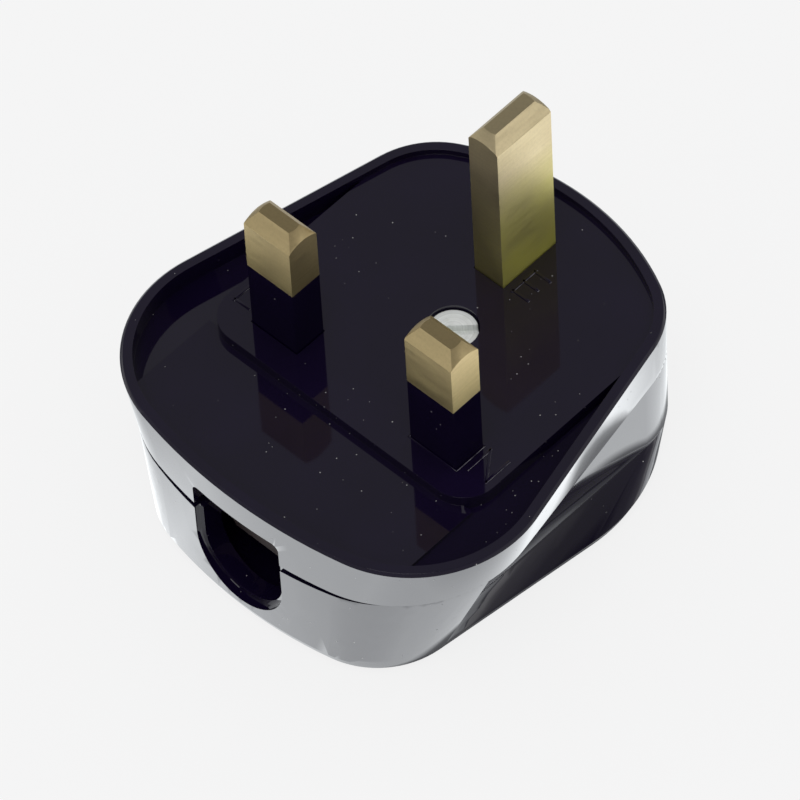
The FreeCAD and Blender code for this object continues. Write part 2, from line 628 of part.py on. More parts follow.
def base_moulding():
    body = new_body("base_shell")
    top = new_sketch(body, "FaceOutline", size("rim_rise"))
    rim.inset(size("rim_edge")).draw(top)
    edge = new_sketch(body, "RimOutline", size("rim_rise") - size("rim_edge"))
    rim.draw(edge)
    seam = new_sketch(body, "JointOutline", -size("base_depth"))
    joint.draw(seam)
    loft(body, [top, edge, seam], "Skirt")
    room = new_sketch(body, "RoomOutline", -size("base_depth"))
    base_room.draw(room)
    pocket(body, room, size("base_depth") - size("web_under"), "Room", reverse=True)

    boss = new_sketch(body, "ScrewBossOutline", WEB)
    circle(boss, size("screw_head") + size("boss_wall"), size("screw_x"), size("screw_y"))
    pad(body, boss, size("boss_depth") - size("web_under"), "ScrewBoss", reverse=True)
    cradle(body, "Neutral", HALF_PITCH, ZERO, size("head_size"), size("head_size"))
    cradle(body, "Earth", ZERO, size("earth_offset"), size("head_narrow"), size("head_size"))

    bosses = new_sketch(body, "GripBossOutlines", WEB)
    ribs = new_sketch(body, "SaddleOutlines", WEB)
    for side in (-1, 1):
        radius = size("grip_shank") + size("boss_wall")
        circle(bosses, radius, size("grip_screw_x") * side, size("cord_grip_y"))
        middle = size("cord_grip_y") + size("saddle_pitch") / 2 * side
        centred(ribs, size("entry_half") * 2, size("saddle_thick"), ZERO, middle)
    pad(body, bosses, size("strap_depth") - size("web_under"), "GripBosses", reverse=True)
    pad(body, ribs, size("saddle_height"), "Saddle", reverse=True)

    rib = new_sketch(body, "FuseRibOutline", WEB)
    side = size("fuse_x") + size("fuse_cap") + size("rib_gap")
    end = BLOCK_START - size("rib_clear")
    rectangle(rib, side, side + size("rib_thick"), end - size("rib_length"), end)
    pad(body, rib, size("rib_height"), "FuseRib", reverse=True)

    slots = new_sketch(body, "PinSlots", ABOVE)
    gap = size("slot_gap") * 2
    for x in (-HALF_PITCH, HALF_PITCH):
        centred(slots, size("pin_long") + gap, size("pin_short") + gap, x)
    centred(slots, size("earth_short") + gap, size("earth_long") + gap, ZERO, size("earth_offset"))
    pocket(body, slots, size("base_depth") + ABOVE + OVER, "PinSlotCuts")

    bore = new_sketch(body, "ScrewBore", ABOVE)
    circle(bore, size("screw_shank") + size("screw_gap"), size("screw_x"), size("screw_y"))
    pocket(body, bore, size("boss_depth") + ABOVE + OVER, "ScrewBoreCut")
    sink = new_sketch(body, "ScrewSink", ABOVE)
    circle(sink, size("screw_head") + size("screw_gap"), size("screw_x"), size("screw_y"))
    pocket(body, sink, size("screw_head_sunk") + size("screw_head_height") + ABOVE, "ScrewSinkCut")
    holes = new_sketch(body, "GripHoles", -size("strap_depth") - OVER)
    for side in (-1, 1):
        radius = size("grip_shank") + size("thread_gap")
        circle(holes, radius, size("grip_screw_x") * side, size("cord_grip_y"))
    depth = size("grip_shank_length") - size("strap_thick") + size("screw_gap")
    pocket(body, holes, depth + OVER, "GripHoleCuts", reverse=True)

    entry = new_sketch(body, "EntryOutline", -size("cable_end") + OVER, "XZ_Plane")
    half = size("entry_half")
    low = -size("base_depth") - size("entry_corner") * 2
    rounded(entry, -half, half, low, -size("entry_top"), size("entry_corner"))
    pocket(body, entry, size("base_wall") + size("entry_run") + OVER, "Entry")

    cut = doc.addObject("Part::Cut", "base_moulding")
    cut.Label = "base_moulding"
    cut.Base = body
    cut.Tool = face_recess()
    return cut


# Cover moulding

def cover_moulding():
    body = new_body("cover_moulding")
    seam = new_sketch(body, "EndAtJoint", -size("base_depth"))
    joint.draw_near_end(seam)
    low = new_sketch(body, "EndAtFoot", FOOT)
    foot.draw_near_end(low)
    loft(body, [seam, low], "CableEnd")
    lobes = new_sketch(body, "LobeEnds", ZERO, "YZ_Plane")
    polygon(lobes, [(size("lobe_end_y"), -size("base_depth")), (ZERO, -size("base_depth")),
                    (ZERO, FOOT), (size("lobe_end_foot_y"), FOOT)])
    pocket(body, lobes, (size("joint_half") + OVER) * 2, "LobeEndCuts", middle=True)
    sides = new_sketch(body, "WaistOutline", -size("base_depth"))
    waist.draw(sides)
    pad(body, sides, size("grip_depth") - size("base_depth"), "Waist", reverse=True)
    crease = new_sketch(body, "CreaseOutline", -size("grip_depth"))
    waist.draw(crease)
    flange = new_sketch(body, "FlangeOutline", FOOT)
    foot.draw(flange)
    loft(body, [crease, flange], "FingerFlange")
    edge = new_sketch(body, "FootOutline", FOOT)
    foot.draw(edge)
    middle = size("foot_edge") * MIDDLE_OF_ROUND
    round_half = new_sketch(body, "FootRound", middle - size("body_depth"))
    foot.inset(middle).draw(round_half)
    back = new_sketch(body, "BackOutline", -size("body_depth"))
    foot.inset(size("foot_edge")).draw(back)
    loft(body, [edge, round_half, back], "Foot")

    gap = new_sketch(body, "OpenJointOutline", -size("cable_end") + OVER, "XZ_Plane")
    segment(gap, size("entry_gap_half"), -size("base_depth"), size("entry_gap"))
    pocket(body, gap, size("lobe_end_y") - size("cable_end") + OVER, "OpenJoint")
    lip = new_sketch(body, "LipOutline", size("lip_height") - size("base_depth"))
    lip_outer.draw(lip)
    pad(body, lip, size("lip_height") + size("entry_gap") * 2, "Lip", reverse=True)
    room = new_sketch(body, "LipRoomOutline", size("lip_height") - size("base_depth"))
    lip_inner.draw(room)
    pocket(body, room, size("lip_height"), "LipRoom")
    room = new_sketch(body, "RoomOutline", -size("base_depth"))
    cover_room.draw(room)
    pocket(body, room, size("body_depth") - size("cover_wall") - size("base_depth"), "Room")

    pillar = new_sketch(body, "PillarOutline", -size("pillar_depth"))
    circle(pillar, size("insert_half") + size("cradle_wall"), size("screw_x"), size("screw_y"))
    floor = size("body_depth") - size("cover_wall") / 2
    pad(body, pillar, floor - size("pillar_depth"), "Pillar", reverse=True)
    seat = new_sketch(body, "InsertSeat", -size("pillar_depth"))
    circle(seat, size("insert_half"), size("screw_x"), size("screw_y"))
    pocket(body, seat, size("insert_length"), "InsertHole")

    ledges = new_sketch(body, "FuseLedgeOutlines", FUSE_Z - size("ledge_rise"))
    for side in (-1, 1):
        y = size("fuse_middle") + size("ledge_pitch") / 2 * side
        centred(ledges, size("ledge_half") * 2, size("ledge_thick"), size("fuse_x"), y)
    depth = size("body_depth") + FUSE_Z - size("ledge_rise")
    pad(body, ledges, depth - size("cover_wall") / 2, "FuseLedges", reverse=True)
    hollow = new_sketch(body, "FuseHollow", -size("fuse_middle"), "XZ_Plane")
    circle(hollow, TUBE_RADIUS + size("ledge_gap"), size("fuse_x"), FUSE_Z)
    run = size("ledge_pitch") + size("ledge_thick") + OVER * 2
    pocket(body, hollow, run, "FuseHollowCut", middle=True)

    wall = size("base_wall") + size("lip_gap") + size("lip_wall")
    for name, step, run in (("Collar", size("entry_collar"), wall + size("entry_run")),
                            ("Entry", ZERO, size("entry_collar_start"))):
        entry = new_sketch(body, f"{name}Outline", -size("cable_end") + OVER, "XZ_Plane")
        half = size("entry_half") - step
        depth = half + size("entry_bend_depth")
        rounded(entry, -half, half, -depth, ZERO, half - size("edge_rest"))
        pocket(body, entry, run + OVER, f"{name}Cut")
    return body


# Pins

def blade(body, long, short, reach, sleeved):
    """The pin from the web to its tip, with its long side along the body's X."""
    waist_in = size("sleeve_wall") * 2
    if sleeved:
        steps = [("Root", WEB, -size("sleeve_root"), ZERO),
                 ("Neck", -size("sleeve_root"), size("sleeve_reach"), waist_in),
                 ("Blade", size("sleeve_reach"), reach, ZERO)]
    else:
        steps = [("Blade", WEB, reach, ZERO)]
    for name, low, high, narrower in steps:
        section = new_sketch(body, f"{name}Section", low)
        centred(section, long - narrower, short - narrower)
        pad(body, section, high - low, name)
    bevels = new_sketch(body, "WideFaceBevels", ZERO, "YZ_Plane")
    for side in (-1, 1):
        out = short / 2 * side
        inner = (short / 2 - size("tip_bevel_side")) * side
        beyond = (short / 2 + OVER) * side
        foot_z = reach - size("tip_bevel_drop")
        polygon(bevels, [(out, foot_z), (beyond, foot_z), (beyond, reach + OVER),
                         (inner, reach + OVER), (inner, reach)])
    pocket(body, bevels, long + OVER * 2, "WideFaceBevelCuts", middle=True)
    turned = new_sketch(body, "TurnedBevel", ZERO, "XZ_Plane")
    inner = long / 2 - size("tip_turn_side")
    beyond = long / 2 + short / 2
    slope = size("tip_turn_drop") / size("tip_turn_side")
    polygon(turned, [(inner, reach), (inner, reach + OVER), (beyond, reach + OVER),
                     (beyond, reach - slope * (beyond - inner))])
    revolve(body, turned, "TurnedBevelCut", "PartDesign::Groove")


def terminal_head(body, long, wide, wire_plane):
    """The block behind a pin, with its wire hole and its screw thread."""
    head = new_sketch(body, "HeadOutline", WEB)
    centred(head, long, wide)
    pad(body, head, size("head_height"), "Head", reverse=True)
    hole = new_sketch(body, "WireHole", ZERO, wire_plane)
    circle(hole, size("wire_hole"), ZERO, WEB - size("wire_hole_depth"))
    pocket(body, hole, size("head_size") + OVER * 2, "WireHoleCut", middle=True)
    thread = new_sketch(body, "ScrewHole", WEB - size("head_height") - OVER)
    circle(thread, size("terminal_shank") + size("thread_gap"))
    pocket(body, thread, size("terminal_shank_length") + OVER, "ScrewHoleCut", reverse=True)


def neutral_pin():
    body = new_body("neutral_pin")
    terminal_head(body, size("head_size"), size("head_size"), "XZ_Plane")
    blade(body, size("pin_long"), size("pin_short"), size("pin_reach"), sleeved=True)
    place(body, x=HALF_PITCH)
    return body


def earth_pin():
    body = new_body("earth_pin")
    terminal_head(body, size("head_size"), size("head_narrow"), "YZ_Plane")
    blade(body, size("earth_long"), size("earth_short"), size("earth_reach"), sleeved=False)
    place(body, y=size("earth_offset"), turn=QUARTER_TURN)
    return body


def line_pin():
    body = new_body("line_pin")
    plate = new_sketch(body, "FootOutline", WEB)
    fuse = size("fuse_x") + HALF_PITCH
    rectangle(plate, fuse - size("foot_plate_half"), size("pin_long") / 2 + size("foot_plate_rim"),
              -size("foot_plate_reach"), size("foot_plate_reach"))
    pad(body, plate, size("foot_plate"), "Foot", reverse=True)
    blade(body, size("pin_long"), size("pin_short"), size("pin_reach"), sleeved=True)
    rivet_hole(body, fuse, CLIP_PLACES["pin_side"])
    place(body, x=-HALF_PITCH)
    return body


def rivet_hole(body, x, y):
    """A blind hole in the brass under a fuse clip."""
    hole = new_sketch(body, "RivetHole", WEB - size("foot_plate") - OVER)
    circle(hole, size("rivet_shank") + size("rivet_gap"), x, y)
    depth = size("rivet_shank_length") - size("clip_thick")
    pocket(body, hole, depth + OVER, "RivetHoleCut", reverse=True)


def pin_sleeve(label, x):
    body = new_body(label)
    ring = new_sketch(body, "SleeveSection", -size("sleeve_root"))
    centred(ring, size("pin_long"), size("pin_short"))
    inside = size("sleeve_wall") * 2
    centred(ring, size("pin_long") - inside, size("pin_short") - inside)
    pad(body, ring, size("sleeve_root") + size("sleeve_reach"), "Sleeve")
    place(body, x=x)
    return body


# Fasteners

def turned(body, corners, name):
    """A solid turned about the body's Z, from corners of radius and height."""
    profile = new_sketch(body, f"{name}Profile", ZERO, "XZ_Plane")
    polygon(profile, corners)
    revolve(body, profile, name)


def slotted_screw(label, head, head_height, shank, length):
    """A slotted screw with the underside of its head at the body's origin."""
    body = new_body(label)
    turned(body, [(ZERO, -length), (shank, -length), (shank, ZERO), (head, ZERO),
                  (head, head_height), (ZERO, head_height)], "Screw")
    slot = new_sketch(body, "SlotOutline", head_height + OVER)
    centred(slot, (head + OVER) * 2, size("slot_width"))
    pocket(body, slot, size("slot_depth") + OVER, "Slot")
    return body


def cover_screw():
    length = size("screw_end") - size("screw_head_sunk") - size("screw_head_height")
    body = slotted_screw("cover_screw", size("screw_head"), size("screw_head_height"),
                         size("screw_shank"), length)
    place(body, size("screw_x"), size("screw_y"),
          -size("screw_head_sunk") - size("screw_head_height"), SLOT_TURN)
    return body


def terminal_screw(label, x, y):
    body = slotted_screw(label, size("terminal_head"), size("terminal_head_height"),
                         size("terminal_shank"), size("terminal_shank_length"))
    place(body, x, y, WEB - size("head_height"), UPSIDE_DOWN)
    return body


def line_terminal_screw():
    body = slotted_screw("line_terminal_screw", size("block_screw_head"), size("terminal_head_height"),
                         size("block_shank"), size("terminal_shank_length"))
    place(body, BLOCK_X, BLOCK_Y, WEB - size("block_height"), UPSIDE_DOWN)
    return body


def cord_grip_screw(label, side):
    body = slotted_screw(label, size("grip_head"), size("grip_head_height"), size("grip_shank"),
                         size("grip_shank_length"))
    place(body, size("grip_screw_x") * side, size("cord_grip_y"),
          -size("strap_depth") - size("strap_thick"), UPSIDE_DOWN)
    return body


def cover_screw_retainer():
    body = new_body("cover_screw_retainer")
    ring = new_sketch(body, "WasherOutline")
    circle(ring, size("washer_half"))
    circle(ring, size("screw_shank") + size("thread_gap"))
    pad(body, ring, size("washer_thick"), "Washer", reverse=True)
    place(body, size("screw_x"), size("screw_y"), -size("boss_depth"))
    return body


def cover_screw_insert():
    body = new_body("cover_screw_insert")
    ring = new_sketch(body, "InsertOutline")
    circle(ring, size("insert_half") - size("thread_gap"))
    circle(ring, size("screw_shank") + size("thread_gap"))
    pad(body, ring, size("insert_length"), "Insert", reverse=True)
    place(body, size("screw_x"), size("screw_y"), -size("pillar_depth"))
    return body


def clip_rivet(label, y):
    """A rivet with the underside of its head on the clip strip."""
    body = new_body(label)
    head = size("rivet_head")
    height = size("rivet_head_height")
    shank = size("rivet_shank")
    length = size("rivet_shank_length")
    turned(body, [(ZERO, -height), (head, -height), (head, ZERO), (shank, ZERO),
                  (shank, length), (ZERO, length)], "Rivet")
    place(body, size("fuse_x"), y, WEB - size("foot_plate") - size("clip_thick"))
    return body


# Fuse

def fuse_cap(label, y, turn):
    body = new_body(label)
    outer = size("fuse_cap")
    wall = size("fuse_cap_wall")
    length = size("fuse_cap_length")
    turned(body, [(ZERO, ZERO), (outer, ZERO), (outer, length), (outer - wall, length),
                  (outer - wall, wall), (ZERO, wall)], "Cap")
    place(body, size("fuse_x"), y, FUSE_Z, turn)
    return body


def fuse_body():
    body = new_body("fuse_body")
    ring = new_sketch(body, "TubeSection")
    circle(ring, TUBE_RADIUS)
    circle(ring, size("fuse_tube_bore"))
    pad(body, ring, FUSE_INSIDE, "Tube")
    place(body, size("fuse_x"), FUSE_START + size("fuse_cap_wall"), FUSE_Z, Z_TO_Y)
    return body


def fuse_element():
    body = new_body("fuse_element")
    wire = new_sketch(body, "WireSection")
    circle(wire, size("fuse_wire"))
    pad(body, wire, FUSE_INSIDE, "Wire")
    place(body, size("fuse_x"), FUSE_START + size("fuse_cap_wall"), FUSE_Z, Z_TO_Y)
    return body


def fuse_clip(label, y):
    """A strip bent round a fuse cap, its arms closing below the middle and flaring at the tips."""
    thick = size("clip_thick").mm
    width = size("clip_width").mm
    bend = size("clip_bend").mm
    flare = size("clip_flare_bend").mm
    arm = size("fuse_cap").mm + size("clip_gap").mm + thick / 2
    top = size("fuse_cap").mm + size("rivet_space").mm + size("rivet_head_height").mm + thick / 2
    hug = math.radians(-size("clip_hug").mm)
    turn = math.radians(size("clip_flare_turn").mm)

    def spot(x, z):
        return FreeCAD.Vector(x, 0, z)

    def around(x, z, radius, angle):
        return spot(x + radius * math.cos(angle), z + radius * math.sin(angle))

    def curve(x, z, radius, start, end):
        points = [around(x, z, radius, angle) for angle in (start, (start + end) / 2, end)]
        return Part.Arc(*points).toShape()

    flare_x = (arm + flare) * math.cos(hug)
    flare_z = (arm + flare) * math.sin(hug)
    start = math.pi + hug
    tip = around(flare_x, flare_z, flare, start + turn)
    heading = start + turn + math.pi / 2
    end = around(tip.x, tip.z, size("clip_flare_end").mm, heading)
    half = [Part.LineSegment(spot(0, top), spot(arm - bend, top)).toShape(),
            curve(arm - bend, top - bend, bend, math.pi / 2, 0),
            Part.LineSegment(spot(arm, top - bend), spot(arm, 0)).toShape(),
            curve(0, 0, arm, 0, hug),
            curve(flare_x, flare_z, flare, start, start + turn),
            Part.LineSegment(tip, end).toShape()]
    other = [edge.mirror(FreeCAD.Vector(), FreeCAD.Vector(1, 0, 0)) for edge in half]
    middle = Part.Wire(Part.__sortEdges__(half + other))
    section = Part.Face(middle.makeOffset2D(thick / 2))
    section.translate(FreeCAD.Vector(0, -width / 2, 0))
    strip = section.extrude(FreeCAD.Vector(0, width, 0))
    radius = size("rivet_shank").mm + size("rivet_gap").mm
    hole = Part.makeCylinder(radius, thick * 2, spot(0, top - thick))
    piece = doc.addObject("Part::Feature", label)
    piece.Label = label
    piece.Shape = strip.cut(hole)
    place(piece, size("fuse_x"), y, FUSE_Z)
    return piece


# Line terminal

def line_terminal_block():
    """The brass that carries the fuse clip, with the line terminal at its side."""
    body = new_body("line_terminal_block")
    plate = new_sketch(body, "PlateOutline", WEB)
    left = size("fuse_x") - size("foot_plate_half")
    right = size("fuse_x") + size("foot_plate_half")
    outer = BLOCK_OUTER
    inner = outer + size("block_width")
    arm = BLOCK_END - size("block_overlap")
    end = FUSE_END + size("foot_plate_rim")
    corner = size("block_corner")
    polygon(plate, [(left, arm), (outer, arm), (outer, BLOCK_START), (inner, BLOCK_START),
                    (inner, BLOCK_END), (right, BLOCK_END), (right, end),
                    (left + corner, end), (left, end - corner)])
    pad(body, plate, size("foot_plate"), "Plate", reverse=True)
    head = new_sketch(body, "HeadOutline", WEB)
    rectangle(head, outer, inner, BLOCK_START, BLOCK_END)
    pad(body, head, size("block_height"), "Head", reverse=True)
    hole = new_sketch(body, "WireHole", -BLOCK_Y, "XZ_Plane")
    circle(hole, size("block_hole"), BLOCK_X, WEB - size("wire_hole_depth"))
    pocket(body, hole, size("head_size") + OVER * 2, "WireHoleCut", middle=True)
    thread = new_sketch(body, "ScrewHole", WEB - size("block_height") - OVER)
    circle(thread, size("block_shank") + size("thread_gap"), BLOCK_X, BLOCK_Y)
    pocket(body, thread, size("terminal_shank_length") + OVER, "ScrewHoleCut", reverse=True)
    rivet_hole(body, size("fuse_x"), CLIP_PLACES["terminal_side"])
    return body


# Cord grip

def cord_grip_strap():
    body = new_body("cord_grip_strap")
    profile = new_sketch(body, "StrapProfile", -size("cord_grip_y"), "XZ_Plane")
    top = -size("strap_depth")
    low = top - size("strap_rise")
    thick = size("strap_thick")
    lean = size("strap_lean")
    ends, flat, crown = size("strap_half"), size("strap_flat"), size("strap_crown")
    upper = [(ends, top), (flat, top), (crown, low)]
    lower = [(crown + lean, low - thick), (flat + lean, top - thick), (ends, top - thick)]

    def left(corners):
        return [(-x, z) for x, z in reversed(corners)]

    polygon(profile, upper + left(upper) + left(lower) + lower)
    pad(body, profile, size("strap_width"), "Strap", middle=True)
    ribs = new_sketch(body, "RibOutlines", low)
    for side in (-1, 1):
        y = size("cord_grip_y") + size("saddle_pitch") / 2 * side
        centred(ribs, crown * 2, size("saddle_thick"), ZERO, y)
    pad(body, ribs, size("strap_rib"), "Ribs")
    holes = new_sketch(body, "ScrewHoles", top + OVER)
    for side in (-1, 1):
        x = size("grip_screw_x") * side
        circle(holes, size("grip_shank") + size("screw_gap"), x, size("cord_grip_y"))
    pocket(body, holes, thick + OVER * 2, "ScrewHoleCuts")
    return body


pieces = [
    base_moulding(),
    cover_moulding(),
    earth_pin(),
    neutral_pin(),
    line_pin(),
    pin_sleeve("neutral_pin_sleeve", HALF_PITCH),
    pin_sleeve("line_pin_sleeve", -HALF_PITCH),
    cover_screw(),
    cover_screw_insert(),
    cover_screw_retainer(),
    fuse_body(),
    fuse_cap("fuse_cap_pin_side", FUSE_START, Z_TO_Y),
    fuse_cap("fuse_cap_terminal_side", FUSE_END, Z_TO_MINUS_Y),
    fuse_element(),
    line_terminal_block(),
    line_terminal_screw(),
    terminal_screw("neutral_terminal_screw", HALF_PITCH, ZERO),
    terminal_screw("earth_terminal_screw", ZERO, size("earth_offset")),
    cord_grip_strap(),
    cord_grip_screw("cord_grip_screw_left", -1),
    cord_grip_screw("cord_grip_screw_right", 1),
]
for side, y in CLIP_PLACES.items():
    pieces.append(fuse_clip(f"fuse_clip_{side}", y))
    pieces.append(clip_rivet(f"fuse_clip_rivet_{side}", y))
doc.recompute()

for item in doc.Objects:
    if "Invalid" in item.State or "Error" in item.State:
        raise ValueError(f"{item.Label} failed: {item.State}")
for piece in pieces:
    shape = piece.Shape
    if shape.isNull() or not shape.isValid() or len(shape.Solids) != 1:
        raise ValueError(f"{piece.Label} is not one valid solid")

os.makedirs("parts", exist_ok=True)
for piece in pieces:
    piece.Shape.exportStep(f"parts/{piece.Label}.step")
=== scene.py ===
import json
import math

import bmesh
import bpy
from mathutils import Matrix, Vector


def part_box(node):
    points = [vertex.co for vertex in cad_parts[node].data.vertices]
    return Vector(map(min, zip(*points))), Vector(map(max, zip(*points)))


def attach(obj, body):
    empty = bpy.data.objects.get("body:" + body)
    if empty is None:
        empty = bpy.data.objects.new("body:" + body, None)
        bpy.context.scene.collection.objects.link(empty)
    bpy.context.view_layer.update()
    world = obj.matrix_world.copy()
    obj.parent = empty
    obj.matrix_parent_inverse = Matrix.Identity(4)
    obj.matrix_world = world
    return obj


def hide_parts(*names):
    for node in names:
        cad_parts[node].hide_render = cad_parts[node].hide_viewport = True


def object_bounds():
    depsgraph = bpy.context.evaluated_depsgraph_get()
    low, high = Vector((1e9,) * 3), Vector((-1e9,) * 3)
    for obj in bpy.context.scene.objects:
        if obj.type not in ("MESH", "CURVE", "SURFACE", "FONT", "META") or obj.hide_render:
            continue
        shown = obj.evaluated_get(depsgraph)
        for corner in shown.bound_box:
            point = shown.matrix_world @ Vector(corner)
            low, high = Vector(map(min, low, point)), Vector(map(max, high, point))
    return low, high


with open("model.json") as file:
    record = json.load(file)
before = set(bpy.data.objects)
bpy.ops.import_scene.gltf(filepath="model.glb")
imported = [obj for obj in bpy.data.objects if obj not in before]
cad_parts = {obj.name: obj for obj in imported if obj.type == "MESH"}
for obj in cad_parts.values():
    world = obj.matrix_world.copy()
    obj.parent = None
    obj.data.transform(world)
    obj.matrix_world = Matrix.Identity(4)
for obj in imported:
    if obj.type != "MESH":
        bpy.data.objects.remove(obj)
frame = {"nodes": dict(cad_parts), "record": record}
CAD_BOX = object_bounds()
SCENE = bpy.context.scene
MM = 0.001

# Camera, worked out from the pins' standard sizes and places in the photograph

CAMERA_AZIMUTH = 46.153
CAMERA_ELEVATION = 52.617
CAMERA_ROLL = -3.645
CAMERA_DISTANCE = 0.81137
CAMERA_AIM = Vector((0.003991, 0.000682, 0.0))
CAMERA_NEAREST = 0.05
CAMERA_FARTHEST = 20.0
FOCAL_PIXELS = 8000.0
IMAGE_PIXELS = 800.0
SENSOR = 36.0


def make_camera():
    azimuth, elevation = math.radians(CAMERA_AZIMUTH), math.radians(CAMERA_ELEVATION)
    level = math.cos(elevation)
    back = Vector((math.sin(azimuth) * level, -math.cos(azimuth) * level, math.sin(elevation)))
    right = Vector((0, 0, 1)).cross(back).normalized()
    up = back.cross(right)
    roll = math.radians(CAMERA_ROLL)
    side = right * math.cos(roll) + up * math.sin(roll)
    top = up * math.cos(roll) - right * math.sin(roll)
    data = bpy.data.cameras.new("photo_camera")
    data.sensor_width = SENSOR
    data.lens = FOCAL_PIXELS / IMAGE_PIXELS * SENSOR
    data.clip_start = CAMERA_NEAREST
    data.clip_end = CAMERA_FARTHEST
    camera = bpy.data.objects.new("photo_camera", data)
    turn = Matrix((side, top, back)).transposed().to_4x4()
    camera.matrix_world = Matrix.Translation(CAMERA_AIM + back * CAMERA_DISTANCE) @ turn
    SCENE.collection.objects.link(camera)
    SCENE.camera = camera


# Colours and node helpers

def rgb(r, g, b):
    return (r, g, b, 1.0)


def grey(value):
    return rgb(value, value, value)


def scaled(colour, share):
    """A colour made darker or lighter by a share."""
    return rgb(*(c * share for c in colour[:3]))


class Nodes:
    """A short way to build one material's node tree."""

    def __init__(self, tree):
        self.tree = tree
        self.tree.nodes.clear()

    def add(self, kind, inputs=None, **settings):
        node = self.tree.nodes.new(kind)
        for name, value in settings.items():
            setattr(node, name, value)
        for name, value in (inputs or {}).items():
            self.feed(node.inputs[name], value)
        return node

    def feed(self, socket, value):
        if isinstance(value, bpy.types.NodeSocket):
            self.tree.links.new(value, socket)
        else:
            socket.default_value = value

    def maths(self, operation, a, b=0.0, clamp=False):
        node = self.add("ShaderNodeMath", {0: a, 1: b}, operation=operation, use_clamp=clamp)
        return node.outputs[0]

    def vector(self, operation, a, b=None):
        """Vector maths: a number for a length or a dot product, otherwise a vector."""
        inputs = {0: a} if b is None else {0: a, 1: b}
        node = self.add("ShaderNodeVectorMath", inputs, operation=operation)
        return node.outputs["Value" if operation in ("LENGTH", "DOT_PRODUCT") else "Vector"]

    def split(self, vector):
        """The X, Y and Z of a vector, by name."""
        return self.add("ShaderNodeSeparateXYZ", {"Vector": vector}).outputs

    def joined(self, **parts):
        """A vector from its X, Y and Z."""
        return self.add("ShaderNodeCombineXYZ", parts).outputs["Vector"]

    def facing(self):
        """The X, Y and Z of the way the surface faces."""
        return self.split(self.add("ShaderNodeNewGeometry").outputs["Normal"])

    def spread(self, value, start, end, low=0.0, high=1.0):
        """A value that runs from low at start to high at end, and stays there beyond."""
        inputs = {"Value": value, "From Min": start, "From Max": end, "To Min": low, "To Max": high}
        return self.add("ShaderNodeMapRange", inputs).outputs["Result"]

    def ramp(self, factor, *stops):
        """A colour ramp whose stops are pairs of place and grey value."""
        node = self.add("ShaderNodeValToRGB", {"Fac": factor})
        elements = node.color_ramp.elements
        for place, _ in stops[2:]:
            elements.new(place)
        for element, (place, value) in zip(elements, stops):
            element.position = place
            element.color = grey(value)
        return node.outputs["Color"]

    def mix(self, factor, a, b, blend="MIX"):
        node = self.add("ShaderNodeMix", {"Factor": factor}, data_type="RGBA", blend_type=blend)
        self.feed(node.inputs["A"], a)
        self.feed(node.inputs["B"], b)
        return node.outputs["Result"]

    def blend(self, factor, a, b):
        """Two shaders, the second by the share that factor gives."""
        node = self.add("ShaderNodeMixShader", {"Fac": factor})
        self.feed(node.inputs[1], a)
        self.feed(node.inputs[2], b)
        return node.outputs["Shader"]

    def noise(self, vector, scale, detail=3.0, roughness=0.5):
        inputs = {"Vector": vector, "Scale": scale, "Detail": detail, "Roughness": roughness}
        return self.add("ShaderNodeTexNoise", inputs).outputs["Fac"]

    def place(self, stretch=(1, 1, 1), shift=(0, 0, 0)):
        """Object coordinates in metres, stretched and shifted along each axis."""
        inputs = {"Vector": self.add("ShaderNodeTexCoord").outputs["Object"]}
        inputs.update({"Scale": stretch, "Location": shift})
        return self.add("ShaderNodeMapping", inputs).outputs["Vector"]

    def bump(self, height, strength, distance, normal=None):
        inputs = {"Height": height, "Strength": strength, "Distance": distance}
        if normal:
            inputs["Normal"] = normal
        return self.add("ShaderNodeBump", inputs).outputs["Normal"]

    def mirrored(self, path):
        """One where a reflection or a refraction looks, otherwise nought."""
        return self.maths("MAXIMUM", path.outputs["Is Glossy Ray"], path.outputs["Is Transmission Ray"])

    def finish(self, shader):
        self.add("ShaderNodeOutputMaterial", {"Surface": shader})

    def surface(self, inputs):
        """One principled shader as the whole material."""
        self.finish(self.add("ShaderNodeBsdfPrincipled", inputs).outputs["BSDF"])


def new_material(name):
    material = bpy.data.materials.new(name)
    material.use_nodes = True
    return material, Nodes(material.node_tree)


# Moulded and turned surfaces

# Heights between which the floors of the side recesses lie, and how much they fall away
RECESS_TOP = -1.5 * MM
RECESS_BOTTOM = -2.0 * MM
RECESS_SLOPE = 0.15
LEVEL_ENOUGH = 0.97
# The least height of a wall's shading normal
WALL_LEAN = -0.12

HAZE_SCALE = 90.0
SCRATCH_STRETCH = (900, 60, 900)
SPECK_SCALE = 1700.0
SPECK_CLUSTERS = 70.0
WAVE_SCALE = 160.0
DUST_TONE = rgb(0.46, 0.45, 0.44)
# The colour of the painted highlight on the sides of the marks
SIDE_HIGHLIGHT_TONE = rgb(0.50, 0.49, 0.50)


def moulded_normal(n, here):
    """Side recesses that fall away outwards, and walls that lean in less than their facets."""
    place = n.split(here)
    deep = n.maths("LESS_THAN", place["Z"], RECESS_TOP)
    shallow = n.maths("GREATER_THAN", place["Z"], RECESS_BOTTOM)
    facing = n.facing()
    level = n.maths("GREATER_THAN", facing["Z"], LEVEL_ENOUGH)
    inside = n.maths("MULTIPLY", n.maths("MULTIPLY", deep, shallow), level)
    side = n.spread(place["X"], -MM, MM, -RECESS_SLOPE, RECESS_SLOPE)
    lean = n.maths("ADD", facing["X"], n.maths("MULTIPLY", inside, side))
    upright = n.maths("MAXIMUM", facing["Z"], WALL_LEAN)
    return n.vector("NORMALIZE", n.joined(X=lean, Y=facing["Y"], Z=upright))


